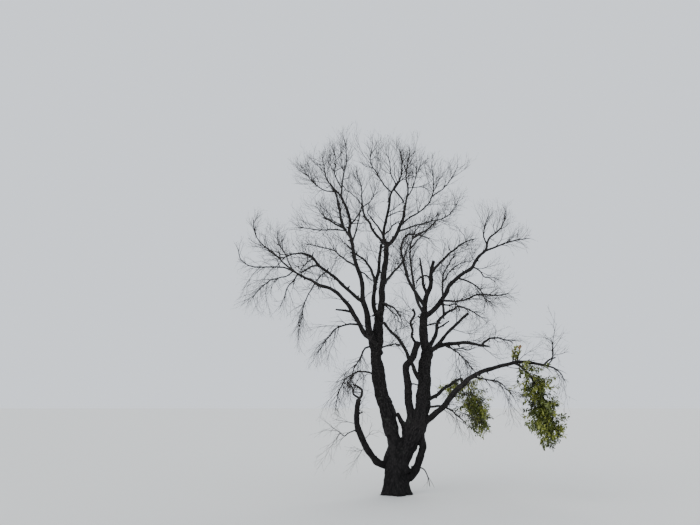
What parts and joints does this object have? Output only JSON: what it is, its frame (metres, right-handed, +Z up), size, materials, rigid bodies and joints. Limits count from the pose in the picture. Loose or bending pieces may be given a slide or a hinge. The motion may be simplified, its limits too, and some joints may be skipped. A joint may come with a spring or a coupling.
{
  "type": "dead tree",
  "caption": "Gnarled dead tree with several crooked stems from a short flared trunk, a bare crown of fine twigs and some leafy shoots on its low right boughs",
  "frame": {"origin": "middle of the flat cut under the trunk, at ground level", "axes": "+Z up; +X to the right and +Y away from the side the tree is usually seen from"},
  "size_m": [10.5364, 7.1941, 12.66],
  "materials": {
    "bark": "rough, deeply fissured",
    "twigs": "matte bare twigs",
    "leaves": "matte leaves"
  },
  "bodies": {
    "root": {"trunk": "bark", "left_stem": "bark", "middle_stem": "bark", "right_stem": "bark", "right_upper_stem": "bark", "left_outer_limb": "bark", "left_long_limb": "bark", "left_upper_limb": "bark", "left_rising_limb": "bark", "centre_left_limb": "bark", "centre_limb": "bark", "crossing_limb": "bark", "crown_limb": "bark", "crown_right_limb": "bark", "cross_limb": "bark", "sinuous_limb": "bark", "right_blunt_limb": "bark", "right_long_limb": "bark", "right_inner_limb": "bark", "right_level_limb": "bark", "broken_limb": "bark", "right_middle_limb": "bark", "right_low_bough": "bark", "right_low_reach": "bark", "left_low_bough": "bark", "left_end_twigs": "twigs", "left_end_low_twigs": "twigs", "left_hanging_twigs": "twigs", "left_side_twigs": "twigs", "left_upper_end_twigs": "twigs", "left_inner_twigs": "twigs", "left_fork_twigs": "twigs", "left_top_twigs": "twigs", "left_top_outer_twigs": "twigs", "crossing_twigs": "twigs", "crown_twigs": "twigs", "crown_right_twigs": "twigs", "crown_side_twigs": "twigs", "crown_reach_twigs": "twigs", "arching_twigs": "twigs", "centre_hanging_twigs": "twigs", "centre_side_twigs": "twigs", "right_front_twigs": "twigs", "right_back_twigs": "twigs", "right_arm_twigs": "twigs", "right_end_rising_twigs": "twigs", "right_end_twigs": "twigs", "right_side_twigs": "twigs", "right_tall_twigs": "twigs", "right_inner_twigs": "twigs", "right_level_twigs": "twigs", "right_low_hanging_twigs": "twigs", "low_reach_end_twigs": "twigs", "low_reach_inner_twigs": "twigs", "left_low_end_twigs": "twigs", "left_drooping_twigs": "twigs", "left_inner_drooping_twigs": "twigs", "middle_leaves": "leaves", "hanging_leaves": "leaves", "upright_leaves": "leaves"}
  },
  "joints": []
}
